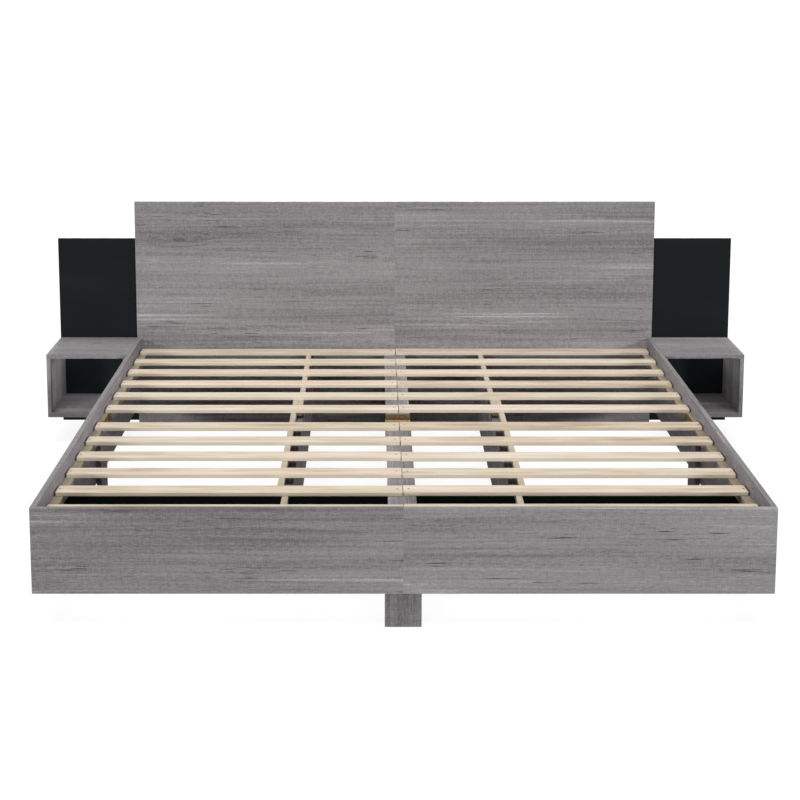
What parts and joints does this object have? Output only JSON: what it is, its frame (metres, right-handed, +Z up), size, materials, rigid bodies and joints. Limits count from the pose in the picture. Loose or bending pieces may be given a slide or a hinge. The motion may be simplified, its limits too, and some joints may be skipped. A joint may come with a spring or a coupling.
{
  "type": "platform bed with nightstands",
  "caption": "Low flat-pack platform bed with a slatted deck, a tall panel headboard, black wing panels and open cubby nightstands attached to both side rails.",
  "frame": {"origin": "on the floor, at the middle of the bed's outline", "axes": "+X across the bed towards the right nightstand as seen from the foot, +Y towards the headboard, +Z up"},
  "size_m": [2.6, 2.115, 0.875],
  "materials": {
    "grey_laminate": "grey oak-look laminate on board, fine grain along each board",
    "black_laminate": "matte charcoal laminate on board",
    "pine": "bare planed pine with knots",
    "raw_board": "bare brown board, unlaminated",
    "zinc_steel": "bright zinc plating",
    "cam_zinc": "die-cast zinc, satin",
    "beech": "fluted beech dowel"
  },
  "bodies": {
    "root": {"headboard_left": "grey_laminate", "headboard_right": "grey_laminate", "headboard_batten": "grey_laminate", "wing_panel_left": "black_laminate", "wing_panel_right": "black_laminate", "footboard_left": "grey_laminate", "footboard_right": "grey_laminate", "front_leg": "grey_laminate", "side_rail_front_left": "grey_laminate", "side_rail_front_right": "grey_laminate", "side_rail_rear_left": "grey_laminate", "side_rail_rear_right": "grey_laminate", "side_leg_left": "grey_laminate", "side_leg_right": "grey_laminate", "ledger_blocks": "raw_board", "ledger_front_left": "pine", "ledger_front_right": "pine", "ledger_rear_left": "pine", "ledger_rear_right": "pine", "centre_beam_front": "grey_laminate", "centre_beam_rear": "grey_laminate", "beam_joint_block": "raw_board", "centre_leg_mid": "grey_laminate", "centre_legs_ends": "grey_laminate", "stringer_front_left": "grey_laminate", "stringer_front_right": "grey_laminate", "stringer_rear_left": "grey_laminate", "stringer_rear_right": "grey_laminate", "stringer_feet": "grey_laminate", "slat_strips_side": "pine", "slat_strips_top": "pine", "slat_strips_foot": "pine", "cross_board_left": "black_laminate", "cross_board_right": "black_laminate", "stand_top_left": "grey_laminate", "stand_bottom_left": "grey_laminate", "stand_outer_side_left": "grey_laminate", "stand_inner_side_left": "grey_laminate", "stand_top_right": "grey_laminate", "stand_bottom_right": "grey_laminate", "stand_outer_side_right": "grey_laminate", "stand_inner_side_right": "grey_laminate", "slat_row_01": "pine", "slat_row_02": "pine", "slat_row_03": "pine", "slat_row_04": "pine", "slat_row_05": "pine", "slat_row_06": "pine", "slat_row_07": "pine", "slat_row_08": "pine", "slat_row_09": "pine", "slat_row_10": "pine", "slat_row_11": "pine", "slat_row_12": "pine", "slat_screws": "zinc_steel", "frame_screws": "zinc_steel", "angle_brackets": "zinc_steel", "cam_locks": "cam_zinc", "dowels": "beech"}
  },
  "joints": []
}
